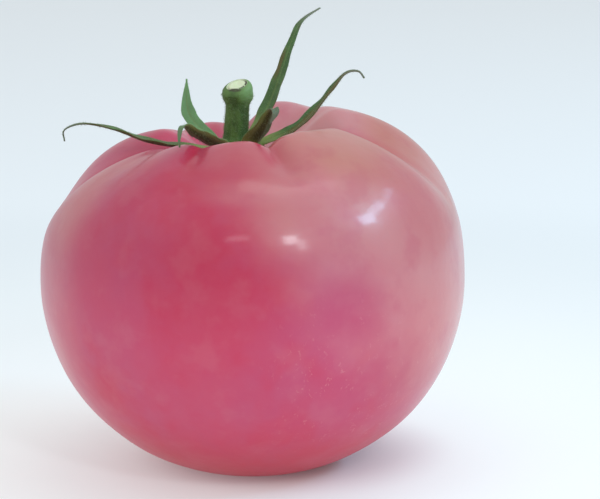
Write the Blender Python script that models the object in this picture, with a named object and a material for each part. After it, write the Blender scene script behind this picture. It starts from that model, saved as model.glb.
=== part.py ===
"""A ripe pink beefsteak tomato with its calyx and the stub of its cut stem.

Metres, +Z up. The origin is the middle of the flat spot that the fruit rests on. The view that the
shape was judged from looks along +Y, so -Y is the front and +X is the right. Azimuths are in degrees,
counted from +X towards +Y.
"""

import math

import bmesh
import bpy
from mathutils import Matrix, Vector

# Fruit: the plain body before its furrows
HALF_WIDTH = 0.0502
HALF_DEPTH = 0.0485
BELLY_HEIGHT = 0.0470
LOWER_DROP = 0.0479
LOWER_FULLNESS = 2.1

# Crown round the fruit: azimuth, rise above the belly in millimetres, fullness of the shoulder
CROWN = (
    (0, 38.0, 2.6),
    (20, 39.9, 2.85),
    (70, 40.0, 2.7),
    (105, 35.0, 2.6),
    (150, 34.5, 2.72),
    (170, 33.5, 2.32),
    (203, 33.2, 2.35),
    (240, 36.2, 2.5),
    (275, 37.3, 2.6),
    (308, 39.0, 2.6),
    (336, 38.8, 2.5),
)

# Cavity that the calyx sits in
CALYX_SHIFT = -0.0035
CAVITY_FLOOR = 0.0750
CAVITY_FLOOR_RADIUS = 0.0080
CAVITY_RIM_RADIUS = 0.0240

# Furrows: azimuth, depth, half width in degrees, heights where each fades out and where it is full
FURROWS = (
    (353, 0.0024, 10, 0.058, 0.080),
    (48, 0.0014, 10, 0.064, 0.080),
    (90, 0.0030, 11, 0.058, 0.078),
    (130, 0.0022, 11, 0.058, 0.076),
    (178, 0.0032, 10, 0.056, 0.075),
    (245, 0.0009, 7, 0.072, 0.081),
    (286, 0.0022, 6, 0.074, 0.0815),
)
FURROW_SHARPNESS = 1.5

FRUIT_COLUMNS = 96
FRUIT_ROWS = 38
ROW_CROWDING = 1.5

# Calyx
TOUCH_GAP = 0.0003
CALYX_TOP = 0.0780
CALYX_DISC_RADIUS = 0.0060
CALYX_DISC_SIDES = 28
SEPAL_THICKNESS = 0.0007
SEPAL_STATIONS = 16
SEPAL_BLUNT_TIP = 0.0004
SEPAL_TAPER = 0.85

# Sepals: azimuth, widest, share of the length where it is widest, width of the foot as a share of that,
# twist at the foot, twist and sideways sweep at the tip, then the midline as (out, up) from the middle of
# the calyx's top. Lengths are in millimetres and angles in degrees
SEPALS = (
    (
        (180, 3.4, 0.30, 0.70, 0, 0, 1.5),
        ((3.8, -1.6), (9, -1.2), (14, -0.6), (21, 0.6), (29, 3.5), (36, 4.8), (40.5, 3.4), (40.5, 0.7)),
    ),
    (
        (150, 3.2, 0.62, 0.55, 0, -62, 0),
        ((3.8, -1.6), (7, 0.6), (10.4, 2.8), (13, 5.4), (14, 8.5), (14, 14.2)),
    ),
    (
        (240, 4.8, 0.40, 0.80, 16, 16, 0),
        ((3.8, -1.6), (8, 0.4), (13, 2.4), (18, 4.8), (22.5, 7.2), (24.6, 7.0), (25.4, 5.0), (25.2, 2.8)),
    ),
    (
        (52, 3.7, 0.38, 0.60, 0, 0, 0),
        ((3.8, -1.6), (7.9, 3.4), (12.8, 8.8), (17.4, 16.2), (21.6, 23.3), (25.3, 26.8), (31.7, 28.8)),
    ),
    (
        (314, 7.0, 0.30, 0.85, 0, 0, -4.2),
        ((3.8, -1.6), (7.1, 2), (10.2, 5.4), (13.2, 8.7), (15.3, 10.1), (16.2, 9.2), (15.6, 6.9)),
    ),
    (
        (355, 3.4, 0.42, 0.45, 40, 25, 1.5),
        (
            (3.8, -1.0),
            (8.0, 1.1),
            (13.2, 3.3),
            (18, 7.8),
            (22, 12.8),
            (25.2, 16.6),
            (28.2, 17.2),
            (29.7, 15.6),
        ),
    ),
    (
        (93, 4.0, 0.30, 0.80, 0, 0, -2),
        ((3.8, -1.6), (7.5, 0.6), (13, 3.4), (18, 5.2), (23, 4.8)),
    ),
)

# Stem: (height above the calyx's top, radius) in millimetres, up to the cut edge
STEM_PROFILE = (
    (0.3, 3.1),
    (1.5, 2.95),
    (3.5, 2.85),
    (5.8, 2.8),
    (8.6, 2.72),
    (9.6, 2.9),
    (10.2, 3.25),
    (10.9, 3.5),
    (12.1, 3.6),
    (13.1, 3.45),
    (13.7, 3.0),
    (13.9, 2.5),
)
STEM_SHIFT = -0.0006
STEM_LEAN = 0.0009
STEM_SIDES = 24
STEM_RIDGES = 5
STEM_RIDGE_DEPTH = 0.04
CUT_TILT = math.radians(22)
CUT_AZIMUTH = math.radians(235)
CUT_SHIFT = 0.0006
CUT_RECESS = 0.0003

PINK_SKIN = (0.52, 0.075, 0.115, 1.0)
SEPAL_GREEN = (0.075, 0.14, 0.045, 1.0)
STEM_GREEN = (0.065, 0.12, 0.03, 1.0)
CUT_PITH = (0.70, 0.76, 0.52, 1.0)


def smoothstep(value):
    value = min(1.0, max(0.0, value))
    return value * value * (3 - 2 * value)


def angle_between(azimuth, other):
    """Degrees from one azimuth to another, from -180 to 180."""
    return (azimuth - other + 180) % 360 - 180


def crown(azimuth):
    """(rise of the crown above the belly, fullness of the shoulder) in this direction."""
    turns = [(angle_between(azimuth, entry[0]) % 360, entry[1:]) for entry in CROWN]
    gap_before, before = min(turns)
    gap_after, after = max(turns)
    share = smoothstep(gap_before / (gap_before + 360 - gap_after))
    rise, fullness = (first + (last - first) * share for first, last in zip(before, after))
    return rise / 1000, fullness


def profile_point(azimuth, slope):
    """(radius, height) of the plain body with its cavity, at this angle up from the belly's middle."""
    rise, fullness = crown(azimuth) if slope > 0 else (LOWER_DROP, LOWER_FULLNESS)
    across = max(0.0, math.cos(slope))
    up = abs(math.sin(slope))
    size = (across**fullness + up**fullness) ** (-1 / fullness)
    radius = HALF_WIDTH * across * size
    height = BELLY_HEIGHT + math.copysign(rise * up * size, slope)
    if slope > 0:
        wall = smoothstep((radius - CAVITY_FLOOR_RADIUS) / (CAVITY_RIM_RADIUS - CAVITY_FLOOR_RADIUS))
        height = CAVITY_FLOOR + (height - CAVITY_FLOOR) * wall
    return radius, height


def profile_normal(azimuth, slope):
    """Outward direction, as (out, up), in the plane of the profile."""
    low = profile_point(azimuth, slope - 0.01)
    high = profile_point(azimuth, min(math.pi / 2, slope + 0.01))
    along = Vector((high[0] - low[0], high[1] - low[1])).normalized()
    return along[1], -along[0]


def furrow_depth(azimuth, radius, height):
    """How far the furrows take the skin in. They fade out in the cavity's floor and down the side."""
    on_top = smoothstep((radius - CAVITY_FLOOR_RADIUS) / 0.012)
    total = 0.0
    for middle, depth, half_width, fade_height, full_height in FURROWS:
        across = abs(angle_between(azimuth, middle)) / half_width
        along = smoothstep((height - fade_height) / (full_height - fade_height))
        total += depth * math.exp(-(across**FURROW_SHARPNESS)) * along
    return total * on_top


def skin_point(azimuth, slope):
    """A point of the fruit's surface."""
    radius, height = profile_point(azimuth, slope)
    normal = profile_normal(azimuth, slope)
    depth = furrow_depth(azimuth, radius, height)
    radius -= depth * normal[0]
    height -= depth * normal[1]
    turn = math.radians(azimuth)
    upper = smoothstep((height - 0.6 * BELLY_HEIGHT) / (0.7 * BELLY_HEIGHT))
    shift = CALYX_SHIFT * upper * (1 - radius / HALF_WIDTH)
    x = radius * math.cos(turn) + shift
    y = radius * math.sin(turn) * HALF_DEPTH / HALF_WIDTH
    return Vector((x, y, height))


def row_slopes():
    """Angles of the rows from the foot to the middle of the cavity, closer together towards the top."""
    drop = BELLY_HEIGHT / LOWER_DROP
    foot = -math.atan2(drop, (1 - drop**LOWER_FULLNESS) ** (1 / LOWER_FULLNESS))
    top = math.atan2(HALF_WIDTH, 0.25 * CAVITY_FLOOR_RADIUS)
    return [
        foot + (top - foot) * (1 - (1 - row / (FRUIT_ROWS - 1)) ** ROW_CROWDING)
        for row in range(FRUIT_ROWS)
    ]


def ring_faces(mesh, lower, upper):
    for i, corner in enumerate(lower):
        j = (i + 1) % len(lower)
        mesh.faces.new((corner, lower[j], upper[j], upper[i]))


def material(name, colour, roughness):
    made = bpy.data.materials.new(name)
    made.use_nodes = True
    made.diffuse_color = colour
    shader = made.node_tree.nodes["Principled BSDF"]
    shader.inputs["Base Color"].default_value = colour
    shader.inputs["Roughness"].default_value = roughness
    shader.inputs["Metallic"].default_value = 0.0
    return made


def add_object(name, mesh, *finishes):
    """Turns a bmesh into a named object, shaded smooth but for its sharp edges."""
    data = bpy.data.meshes.new(name)
    mesh.to_mesh(data)
    mesh.free()
    for finish in finishes:
        data.materials.append(finish)
    data.shade_smooth()
    data.set_sharp_from_angle(angle=math.radians(40))
    made = bpy.data.objects.new(name, data)
    bpy.context.scene.collection.objects.link(made)
    return made


def make_fruit():
    mesh = bmesh.new()
    rows = []
    for slope in row_slopes():
        row = [
            mesh.verts.new(skin_point(360 * column / FRUIT_COLUMNS, slope))
            for column in range(FRUIT_COLUMNS)
        ]
        rows.append(row)
    for corner in rows[0]:
        corner.co.z = 0.0
    for corner in rows[-1]:
        corner.co.z = CAVITY_FLOOR
    for lower, upper in zip(rows, rows[1:]):
        ring_faces(mesh, lower, upper)
    mesh.faces.new(reversed(rows[0]))
    mesh.faces.new(rows[-1])
    return add_object("fruit", mesh, material("pink_skin", PINK_SKIN, 0.35))


def curve_through(points, count):
    """Evenly spaced places on a smooth curve through the points."""
    ends = [2 * points[0] - points[1], *points, 2 * points[-1] - points[-2]]
    fine = []
    steps = 12
    for a, b, c, d in zip(ends, ends[1:], ends[2:], ends[3:]):
        for step in range(steps):
            t = step / steps
            square = (2 * a - 5 * b + 4 * c - d) * t * t
            cube = (3 * b - a - 3 * c + d) * t**3
            fine.append(0.5 * (2 * b + (c - a) * t + square + cube))
    fine.append(points[-1])
    lengths = [0.0]
    for start, end in zip(fine, fine[1:]):
        lengths.append(lengths[-1] + (end - start).length)
    placed = []
    for i in range(count):
        target = lengths[-1] * i / (count - 1)
        k = max(1, next((n for n, length in enumerate(lengths) if length >= target - 1e-9), len(fine) - 1))
        part = (target - lengths[k - 1]) / (lengths[k] - lengths[k - 1])
        placed.append(fine[k - 1].lerp(fine[k], part))
    return placed


def sepal_width(share, widest, broadest, foot):
    """Width along a sepal: it swells from the foot and then tapers to the tip."""
    swell = foot + (1 - foot) * math.sin(math.pi / 2 * min(1.0, share / broadest))
    taper = max(0.0, 1 - max(0.0, share - broadest) / (1 - broadest)) ** SEPAL_TAPER
    return max(2 * SEPAL_BLUNT_TIP, widest / 1000 * swell * taper)


def sepal_section(width, share):
    """Corners of one section, as (across, up): a shallow channel with a rounded back."""
    half = width / 2
    fold = 0.35 * (1 - 0.6 * share)
    top = []
    bottom = []
    for across in (-1.0, -0.5, 0.0, 0.5, 1.0):
        channel = fold * half * abs(across) ** 1.6
        thick = SEPAL_THICKNESS * (1.25 - 0.35 * abs(across))
        top.append((across * half, channel + thick / 2))
        bottom.append((across * half, channel - thick / 2))
    return top + bottom[::-1]


def sepal_faces(mesh, lower, upper):
    """Joins two sections by triangles whose diagonals run alike on the upper and the under side."""
    count = len(lower)
    for i in range(count):
        j = (i + 1) % count
        if i < count // 2:
            mesh.faces.new((lower[i], lower[j], upper[j]))
            mesh.faces.new((lower[i], upper[j], upper[i]))
        else:
            mesh.faces.new((lower[i], lower[j], upper[i]))
            mesh.faces.new((lower[j], upper[j], upper[i]))


def make_sepal(name, form, midline, finish):
    azimuth, widest, broadest, foot, foot_twist, twist, sweep = form
    turn = math.radians(azimuth)
    outward = Vector((math.cos(turn), math.sin(turn), 0))
    sideways = Vector((-math.sin(turn), math.cos(turn), 0))
    middle = Vector((CALYX_SHIFT, 0, CALYX_TOP))
    points = [middle + (outward * out + Vector((0, 0, up))) / 1000 for out, up in midline]
    places = curve_through(points, SEPAL_STATIONS)
    for i, place in enumerate(places):
        place += sideways * sweep / 1000 * (i / (SEPAL_STATIONS - 1)) ** 2
    mesh = bmesh.new()
    rings = []
    for i, place in enumerate(places):
        share = i / (SEPAL_STATIONS - 1)
        along = (places[min(SEPAL_STATIONS - 1, i + 1)] - places[max(0, i - 1)]).normalized()
        turned_by = foot_twist + (twist - foot_twist) * smoothstep(share / 0.5)
        turned = Matrix.Rotation(math.radians(turned_by), 3, along)
        upward = turned @ along.cross(sideways).normalized()
        across = upward.cross(along)
        section = sepal_section(sepal_width(share, widest, broadest, foot), share)
        rings.append([mesh.verts.new(place + across * side + upward * rise) for side, rise in section])
    for lower, upper in zip(rings, rings[1:]):
        sepal_faces(mesh, lower, upper)
    mesh.faces.new(reversed(rings[0]))
    mesh.faces.new(rings[-1])
    bmesh.ops.recalc_face_normals(mesh, faces=mesh.faces)
    return add_object(name, mesh, finish)


def make_calyx():
    """The disc under the stem with all its sepals, joined into one body."""
    finish = material("sepal_green", SEPAL_GREEN, 0.6)
    thickness = CALYX_TOP - CAVITY_FLOOR
    rings = (
        (CAVITY_FLOOR + TOUCH_GAP, 0.9),
        (CAVITY_FLOOR + 0.35 * thickness, 1.0),
        (CAVITY_FLOOR + 0.75 * thickness, 0.92),
        (CALYX_TOP, 0.66),
    )
    mesh = bmesh.new()
    made = []
    for height, share in rings:
        radius = CALYX_DISC_RADIUS * share
        turns = [math.tau * i / CALYX_DISC_SIDES for i in range(CALYX_DISC_SIDES)]
        spots = [(CALYX_SHIFT + radius * math.cos(turn), radius * math.sin(turn), height) for turn in turns]
        made.append([mesh.verts.new(spot) for spot in spots])
    for lower, upper in zip(made, made[1:]):
        ring_faces(mesh, lower, upper)
    mesh.faces.new(reversed(made[0]))
    mesh.faces.new(made[-1])
    calyx = add_object("calyx", mesh, finish)

    sepals = bpy.data.collections.new("sepals")
    bpy.context.scene.collection.children.link(sepals)
    for i, (form, midline) in enumerate(SEPALS):
        sepal = make_sepal(f"sepal_{i}", form, midline, finish)
        bpy.context.scene.collection.objects.unlink(sepal)
        sepals.objects.link(sepal)
    union = calyx.modifiers.new("join_sepals", "BOOLEAN")
    union.operation = "UNION"
    union.operand_type = "COLLECTION"
    union.collection = sepals
    union.solver = "EXACT"
    bpy.context.view_layer.update()
    with bpy.context.temp_override(object=calyx, active_object=calyx):
        bpy.ops.object.modifier_apply(modifier=union.name)
    for sepal in list(sepals.objects):
        bpy.data.objects.remove(sepal)
    bpy.data.collections.remove(sepals)
    return calyx


def make_stem():
    """The stub of the stem: a ridged neck, the swollen joint and the slanting cut."""
    mesh = bmesh.new()
    rings = []
    top_height = STEM_PROFILE[-1][0]
    tilt_way = Vector((math.cos(CUT_AZIMUTH), math.sin(CUT_AZIMUTH), 0))
    for height, radius in STEM_PROFILE:
        bend = smoothstep((height - 10) / (top_height - 10))
        ring = []
        for side in range(STEM_SIDES):
            turn = math.tau * side / STEM_SIDES
            ridge = 1 + STEM_RIDGE_DEPTH * (1 - bend) * math.cos(STEM_RIDGES * turn)
            flat = Vector((math.cos(turn), math.sin(turn), 0)) * radius / 1000 * ridge
            drop = -flat.dot(tilt_way) * math.tan(CUT_TILT) * bend
            lean = STEM_SHIFT + STEM_LEAN * height / top_height
            middle = Vector((CALYX_SHIFT + lean, 0, CALYX_TOP + height / 1000))
            middle += tilt_way * CUT_SHIFT * bend
            ring.append(mesh.verts.new(middle + flat + Vector((0, 0, drop))))
        rings.append(ring)
    for lower, upper in zip(rings, rings[1:]):
        ring_faces(mesh, lower, upper)
    mesh.faces.new(reversed(rings[0]))
    middle = sum((corner.co for corner in rings[-1]), Vector()) / STEM_SIDES
    recess = Vector((0, 0, CUT_RECESS))
    hollow = [mesh.verts.new(middle + (corner.co - middle) * 0.85 - recess) for corner in rings[-1]]
    first_cut_face = len(mesh.faces)
    ring_faces(mesh, rings[-1], hollow)
    mesh.faces.new(hollow)
    mesh.faces.ensure_lookup_table()
    for face in mesh.faces[first_cut_face:]:
        face.material_index = 1
    outside = material("stem_green", STEM_GREEN, 0.6)
    inside = material("cut_pith", CUT_PITH, 0.7)
    return add_object("stem", mesh, outside, inside)


def main():
    for leftover in list(bpy.data.objects):
        bpy.data.objects.remove(leftover)
    make_fruit()
    make_calyx()
    make_stem()


main()
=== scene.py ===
"""The finish and setting of a ripe pink beefsteak tomato, laid out as an add-on and run as a script.

Metres, +Z up. The fruit rests on its small flat spot at the origin. The camera stands on the -Y side,
and +X is the right. Azimuths are in degrees, counted from +X towards +Y.
"""

import math
import random
from types import SimpleNamespace

import bpy
import numpy as np
from bpy.props import FloatProperty, FloatVectorProperty, IntProperty, PointerProperty
from mathutils import Matrix, Vector, noise


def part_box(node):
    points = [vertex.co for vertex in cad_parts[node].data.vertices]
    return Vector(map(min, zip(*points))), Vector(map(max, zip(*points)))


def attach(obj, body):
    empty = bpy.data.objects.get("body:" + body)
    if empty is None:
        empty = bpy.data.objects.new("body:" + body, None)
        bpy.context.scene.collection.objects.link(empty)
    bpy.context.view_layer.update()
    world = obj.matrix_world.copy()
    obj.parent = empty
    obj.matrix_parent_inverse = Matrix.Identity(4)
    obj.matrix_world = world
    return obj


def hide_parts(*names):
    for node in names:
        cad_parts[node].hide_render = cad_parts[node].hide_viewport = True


bl_info = {
    "name": "Pink beefsteak tomato",
    "version": (1, 0, 0),
    "blender": (4, 5, 0),
    "location": "3D View > Sidebar > Tomato",
    "description": "Skin, calyx, stem and setting of a ripe pink tomato, built round its solids",
    "category": "Add Mesh",
}

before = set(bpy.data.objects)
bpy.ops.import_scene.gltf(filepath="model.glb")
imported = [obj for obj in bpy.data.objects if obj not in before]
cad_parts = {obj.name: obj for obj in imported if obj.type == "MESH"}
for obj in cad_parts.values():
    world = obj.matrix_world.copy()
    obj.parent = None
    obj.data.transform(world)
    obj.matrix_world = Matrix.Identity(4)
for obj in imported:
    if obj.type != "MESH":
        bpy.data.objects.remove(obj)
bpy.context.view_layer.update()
FRUIT_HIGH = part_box("fruit")[1]
CALYX_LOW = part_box("calyx")[0]
STEM_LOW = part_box("stem")[0]

# Fruit: the plain body before its furrows
HALF_WIDTH = FRUIT_HIGH.x
HALF_DEPTH = FRUIT_HIGH.y
BELLY_HEIGHT = 0.0470
LOWER_DROP = 0.0479
LOWER_FULLNESS = 2.1

# Crown round the fruit: azimuth, rise above the belly in millimetres, fullness of the shoulder
CROWN = (
    (0, 38.0, 2.6),
    (20, 39.9, 2.85),
    (70, 40.0, 2.7),
    (105, 35.0, 2.6),
    (150, 34.5, 2.72),
    (170, 33.5, 2.32),
    (203, 33.2, 2.35),
    (240, 36.2, 2.5),
    (275, 37.3, 2.6),
    (308, 39.0, 2.6),
    (336, 38.8, 2.5),
)

# Cavity that the calyx sits in
TOUCH_GAP = 0.0003
CALYX_SHIFT = -0.0035
CAVITY_FLOOR = CALYX_LOW.z - TOUCH_GAP
CAVITY_FLOOR_RADIUS = 0.0080
CAVITY_RIM_RADIUS = 0.0240

# Furrows: azimuth, depth, half width in degrees, heights where each fades out and where it is full
FURROWS = (
    (353, 0.0024, 10, 0.058, 0.080),
    (48, 0.0014, 10, 0.064, 0.080),
    (90, 0.0030, 11, 0.058, 0.078),
    (130, 0.0022, 11, 0.058, 0.076),
    (178, 0.0032, 10, 0.056, 0.075),
    (245, 0.0009, 7, 0.072, 0.081),
    (286, 0.0022, 6, 0.074, 0.0815),
)
FURROW_SHARPNESS = 1.5

# Red streaks that run out of the cavity: azimuth at the crest, degrees more for each millimetre further
# down, half width in degrees, heights where each fades out and where it is full
STREAKS = ((241, 1.9, 3.6, 0.0745, 0.0780), (280, 0.6, 2.4, 0.0772, 0.0795))
CREST_HEIGHT = 0.0810

# Fine relief of the skin
ROW_CROWDING = 1.3
FOOT_SOFTNESS = 0.00015
SCAR_DIMPLE = 0.0011
SCAR_RADIUS = 0.0045
UNEVENNESS = 0.00022
UNEVENNESS_SIZE = 0.016
CREASE_DEPTH = 0.00018
CREASES_ROUND = 7.0

# Calyx
CALYX_TOP = STEM_LOW.z - TOUCH_GAP
RECEPTACLE_RADIUS = 0.0060
RECEPTACLE_COLUMNS = 96
# Dome that the sepals grow from: (share of its radius, share of its height)
RECEPTACLE_PROFILE = ((0.9, 0.02), (1, 0.30), (0.99, 0.55), (0.9, 0.8), (0.74, 0.95), (0.58, 1), (0.4, 1))
RECEPTACLE_BULGE = 0.16
RECEPTACLE_LIFT = 0.10
SEPAL_FOOT_SPREAD = 15
CURVE_STEPS = 24
BLADE_STATIONS = 56
BLADE_HALVES = 7
SEPAL_TAPER = 0.85
TIP_WIDTH = 0.00045
FULL_WIDTH = 0.0025
EDGE_THICKNESS = 0.00022
MIDDLE_THICKNESS = 0.00055
ROOT_THICKENING = 2.2
ROOT_SHARE = 0.18
FOLD = 0.35
RIB_HEIGHT = 0.00035
RIB_WIDTH = 0.20
GROOVE_DEPTH = 0.00016
GROOVE_WIDTH = 0.16
EDGE_WAVE = 0.00018
EDGE_WAVE_LENGTH = 0.009

# Sepals: azimuth, widest, share of the length where it is widest, width of the foot as a share of that,
# twist at the foot, twist and sideways sweep at the tip, then the midline as (out, up) from the middle of
# the calyx's top. Lengths are in millimetres and angles in degrees
SEPALS = (
    (
        (180, 3.4, 0.30, 0.70, 0, 0, 1.5),
        ((3.8, -1.6), (9, -1.2), (14, -0.6), (21, 0.6), (29, 3.5), (36, 4.8), (40.5, 3.4), (40.5, 0.7)),
    ),
    (
        (150, 3.2, 0.62, 0.55, 0, -62, 0),
        ((3.8, -1.6), (7, 0.6), (10.4, 2.8), (13, 5.4), (14, 8.5), (14, 14.2)),
    ),
    (
        (240, 4.8, 0.40, 0.80, 16, 16, 0),
        ((3.8, -1.6), (8, 0.4), (13, 2.4), (18, 4.8), (22.5, 7.2), (24.6, 7.0), (25.4, 5.0), (25.2, 2.8)),
    ),
    (
        (52, 3.7, 0.38, 0.60, 0, 0, 0),
        ((3.8, -1.6), (7.9, 3.4), (12.8, 8.8), (17.4, 16.2), (21.6, 23.3), (25.3, 26.8), (31.7, 28.8)),
    ),
    (
        (314, 7.0, 0.30, 0.85, 0, 0, -4.2),
        ((3.8, -1.6), (7.1, 2), (10.2, 5.4), (13.2, 8.7), (15.3, 10.1), (16.2, 9.2), (15.6, 6.9)),
    ),
    (
        (355, 3.4, 0.42, 0.45, 40, 25, 1.5),
        ((3.8, -1), (8, 1.1), (13.2, 3.3), (18, 7.8), (22, 12.8), (25.2, 16.6), (28.2, 17.2), (29.7, 15.6)),
    ),
    (
        (93, 4.0, 0.30, 0.80, 0, 0, -2),
        ((3.8, -1.6), (7.5, 0.6), (13, 3.4), (18, 5.2), (23, 4.8)),
    ),
)

# How pale and how brown each sepal is, and the side of its light margin: 1 to the left of its way out, -1 to
# the right
SEPAL_TONES = (
    (0.2, 0.5, 0),
    (1.0, 0.0, 0),
    (0.5, 0.05, 1),
    (0.1, 0.1, 0),
    (0.0, 0.05, -1),
    (0.1, 0.9, 1),
    (0.3, 0.3, 0),
)

# What each corner of the calyx carries for its colours, and the dome's share of it
BLADE_VALUES = ("along", "across", "inner", "pale", "brown", "margin")
DOME_VALUES = (0.0, 0.5, 0.6, 0.0, 0.0, 0.0)

# Stem: (height above the calyx's top, radius) in millimetres, up to the cut edge
STEM_PROFILE = (
    (0.3, 3.1), (1.5, 2.95), (3.5, 2.85), (5.8, 2.8), (8.6, 2.72), (9.6, 2.9),
    (10.2, 3.25), (10.9, 3.5), (12.1, 3.6), (13.1, 3.45), (13.7, 3.0), (13.9, 2.5),
)
STEM_TOP, CUT_RADIUS = (value / 1000 for value in STEM_PROFILE[-1])
STEM_SHIFT = -0.0006
STEM_LEAN = 0.0009
STEM_COLUMNS = 120
STEM_ROWS = 90
STEM_RIDGES = 5
STEM_RIDGE_DEPTH = 0.04
STEM_FIBRES = 13
STEM_FIBRE_DEPTH = 0.012
STEM_TWIST = 90
STEM_GRAIN = 0.00007
CUT_TILT = math.radians(22)
CUT_AZIMUTH = math.radians(235)
CUT_SHIFT = 0.0006
CUT_BEND_START = 0.010
CRACK_AZIMUTH = -55
# Cut face from its edge to its middle: (share of the edge's radius, millimetres below the edge, pith, crack)
CUT_PROFILE = (
    (0.99, -0.06, 0.3, 0.0),
    (0.95, -0.04, 1.0, 0.8),
    (0.91, 0.18, 1.0, 1.0),
    (0.86, 0.24, 1.0, 1.0),
    (0.80, 0.08, 1.0, 1.0),
    (0.74, -0.06, 1.0, 0.2),
    (0.62, -0.05, 1.0, 0.0),
    (0.45, 0.03, 1.0, 0.0),
    (0.28, 0.10, 1.0, 0.0),
    (0.12, 0.12, 1.0, 0.0),
)
# Heights and sides between which the stem's colour changes; the paler right side of the knuckle is painted
# light
KNUCKLE_HEIGHTS = (CALYX_TOP + 0.0085, CALYX_TOP + 0.0108)
KNUCKLE_LIT_SIDE = (CALYX_SHIFT - 0.0004, CALYX_SHIFT + 0.0030)
STEM_FOOT_HEIGHTS = (CALYX_TOP + 0.0030, CALYX_TOP)

# Hairs
HAIR_SIDES = 3
HAIR_LEAN = 0.45
HAIR_LENGTHS = (0.4, 1.0)
HAIR_THICKNESSES = (0.8, 1.2)
SEPAL_HAIR_HEIGHTS = (CALYX_TOP - 0.0005, math.inf)
STEM_HAIR_HEIGHTS = (-math.inf, CALYX_TOP + 0.0118)

# Areas of the skin's colour. Each is a product of fades: what it goes by, where it is 0 and where it is 1
CRIMSON_FOOT = (("height", 0.026, 0.003),)
ABOVE_FOOT = (("height", 0.008, 0.034),)
WARM_SIDE = (("height", 0.056, 0.074), ("x", -0.004, 0.018), ("clouds", 0.30, 0.55))
# Painted sheen: the left edge is paler, as the rim's reflection of the bright surroundings
LEFT_RIM_SHEEN = (("x", -0.036, -0.048),)
# Painted sheen: a hazy pale band below the near shoulder, as a reflection of the light above
PAINTED_SHEEN_BAND = (
    ("height", 0.0768, 0.0745),
    ("height", 0.0700, 0.0728),
    ("y", -0.018, -0.032),
    ("x", -0.018, -0.002),
    ("x", 0.031, 0.018),
)
# Painted light: the far side of the cavity is painted paler as if lit, and the painted shade of the top is
# held back there
LIT_HOLLOW = (("radius", 0.036, 0.026), ("height", 0.068, 0.075), ("x", -0.006, 0.006), ("y", -0.012, 0.0))
FLECKED_SIDE = (("x", -0.002, 0.022), ("height", 0.056, 0.040), ("height", 0.008, 0.018))
# Painted shade: the upper half and the top are darkened
UPPER_HALF = (("height", 0.036, 0.066), ("radius", 0.014, 0.026))
TOP = (("height", 0.069, 0.080), ("radius", 0.014, 0.026))
RIGHT_SIDE = (("x", 0.016, 0.046), ("height", 0.010, 0.030))
# Painted shade near the ground, where the fruit meets the floor
GROUND = (("height", 0.022, 0.001),)
CORK_RING = (("radius", 0.0100, 0.0068), ("height", 0.060, 0.066))
SCAR = (("radius", 0.0050, 0.0032), ("height", 0.010, 0.004))
WAXED_SIDE = (("x", 0.030, 0.048),)
WAXED_HEIGHT = (("height", 0.002, 0.022),)

# The skin pales along a slant, partly its own dusty pink and partly painted sheen from the light on the right:
# how much X and height count, and the sums where it starts and ends
PALE_SLANT = (1.15, 0.92)
PALE_FADE = (0.051, 0.099)

# What the skin's colour is multiplied by in its darker areas: painted shade over the upper half, the top and
# near the ground, and a duller tone on the right
UPPER_PAINTED_SHADE = (0.80, 0.82, 0.82, 1)
TOP_PAINTED_SHADE = (0.93, 0.77, 0.72, 1)
RIGHT_SHADE = (0.90, 0.77, 0.71, 1)
GROUND_PAINTED_SHADE = (0.86, 0.36, 0.50, 1)

# Rounded patches of colour: middle, how much each patch is shrunk in X, Y and Z, and how far from the middle
# it is full and how far it reaches
CRIMSON_FRONT = ((-0.005, -0.042, 0.063), (1.0, 1.0, 0.62), 0.004, 0.025)
CRIMSON_SPOT = ((-0.034, -0.030, 0.024), (1.0, 1.0, 1.0), 0.002, 0.010)
CREST = ((-0.040, -0.013, 0.066), (1.0, 1.0, 0.8), 0.003, 0.017)
SHOULDER = ((-0.031, -0.011, 0.075), (1.0, 1.0, 1.0), 0.002, 0.011)
RIM = ((-0.002, -0.024, 0.081), (0.9, 1.0, 1.0), 0.003, 0.011)
PINK_FLUSH = ((0.037, -0.020, 0.068), (1.0, 1.0, 1.0), 0.004, 0.020)
MAGENTA_SPOT = ((0.022, -0.043, 0.048), (1.0, 1.0, 1.3), 0.003, 0.014)
SEPAL_STAIN = ((0.0072, 0.0137, 0.0942), (1.0, 1.0, 0.5), 0.001, 0.004)
CUT_LIP = ((-0.0042, -0.0029, 0.0910), (0.5, 0.8, 2.6), 0.0006, 0.0012)
# Painted light on the floor: by the contact its glow is held back for a contact shadow and turned pink as
# light bounced from the fruit
CONTACT_SHADE = ((0.010, 0.012, 0.0), (1.0, 1.0, 1.0), 0.012, 0.042)
PAINTED_BOUNCE_GLOW = (1.0, 0.58, 0.66, 1)

# Setting, as seen in the photograph's frame of 600 by 499 pixels
CAMERA_DISTANCE = 0.65
CAMERA_ELEVATION = math.radians(12)
CAMERA_AIM = Vector((0.01119, 0.0, 0.05245))
CAMERA_LENS = 164.6
SENSOR_WIDTH = 36.0
CLIP_DISTANCES = (0.01, 20.0)
FLOOR_RADIUS = 4.0
FLOOR_CORNERS = 64

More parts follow.
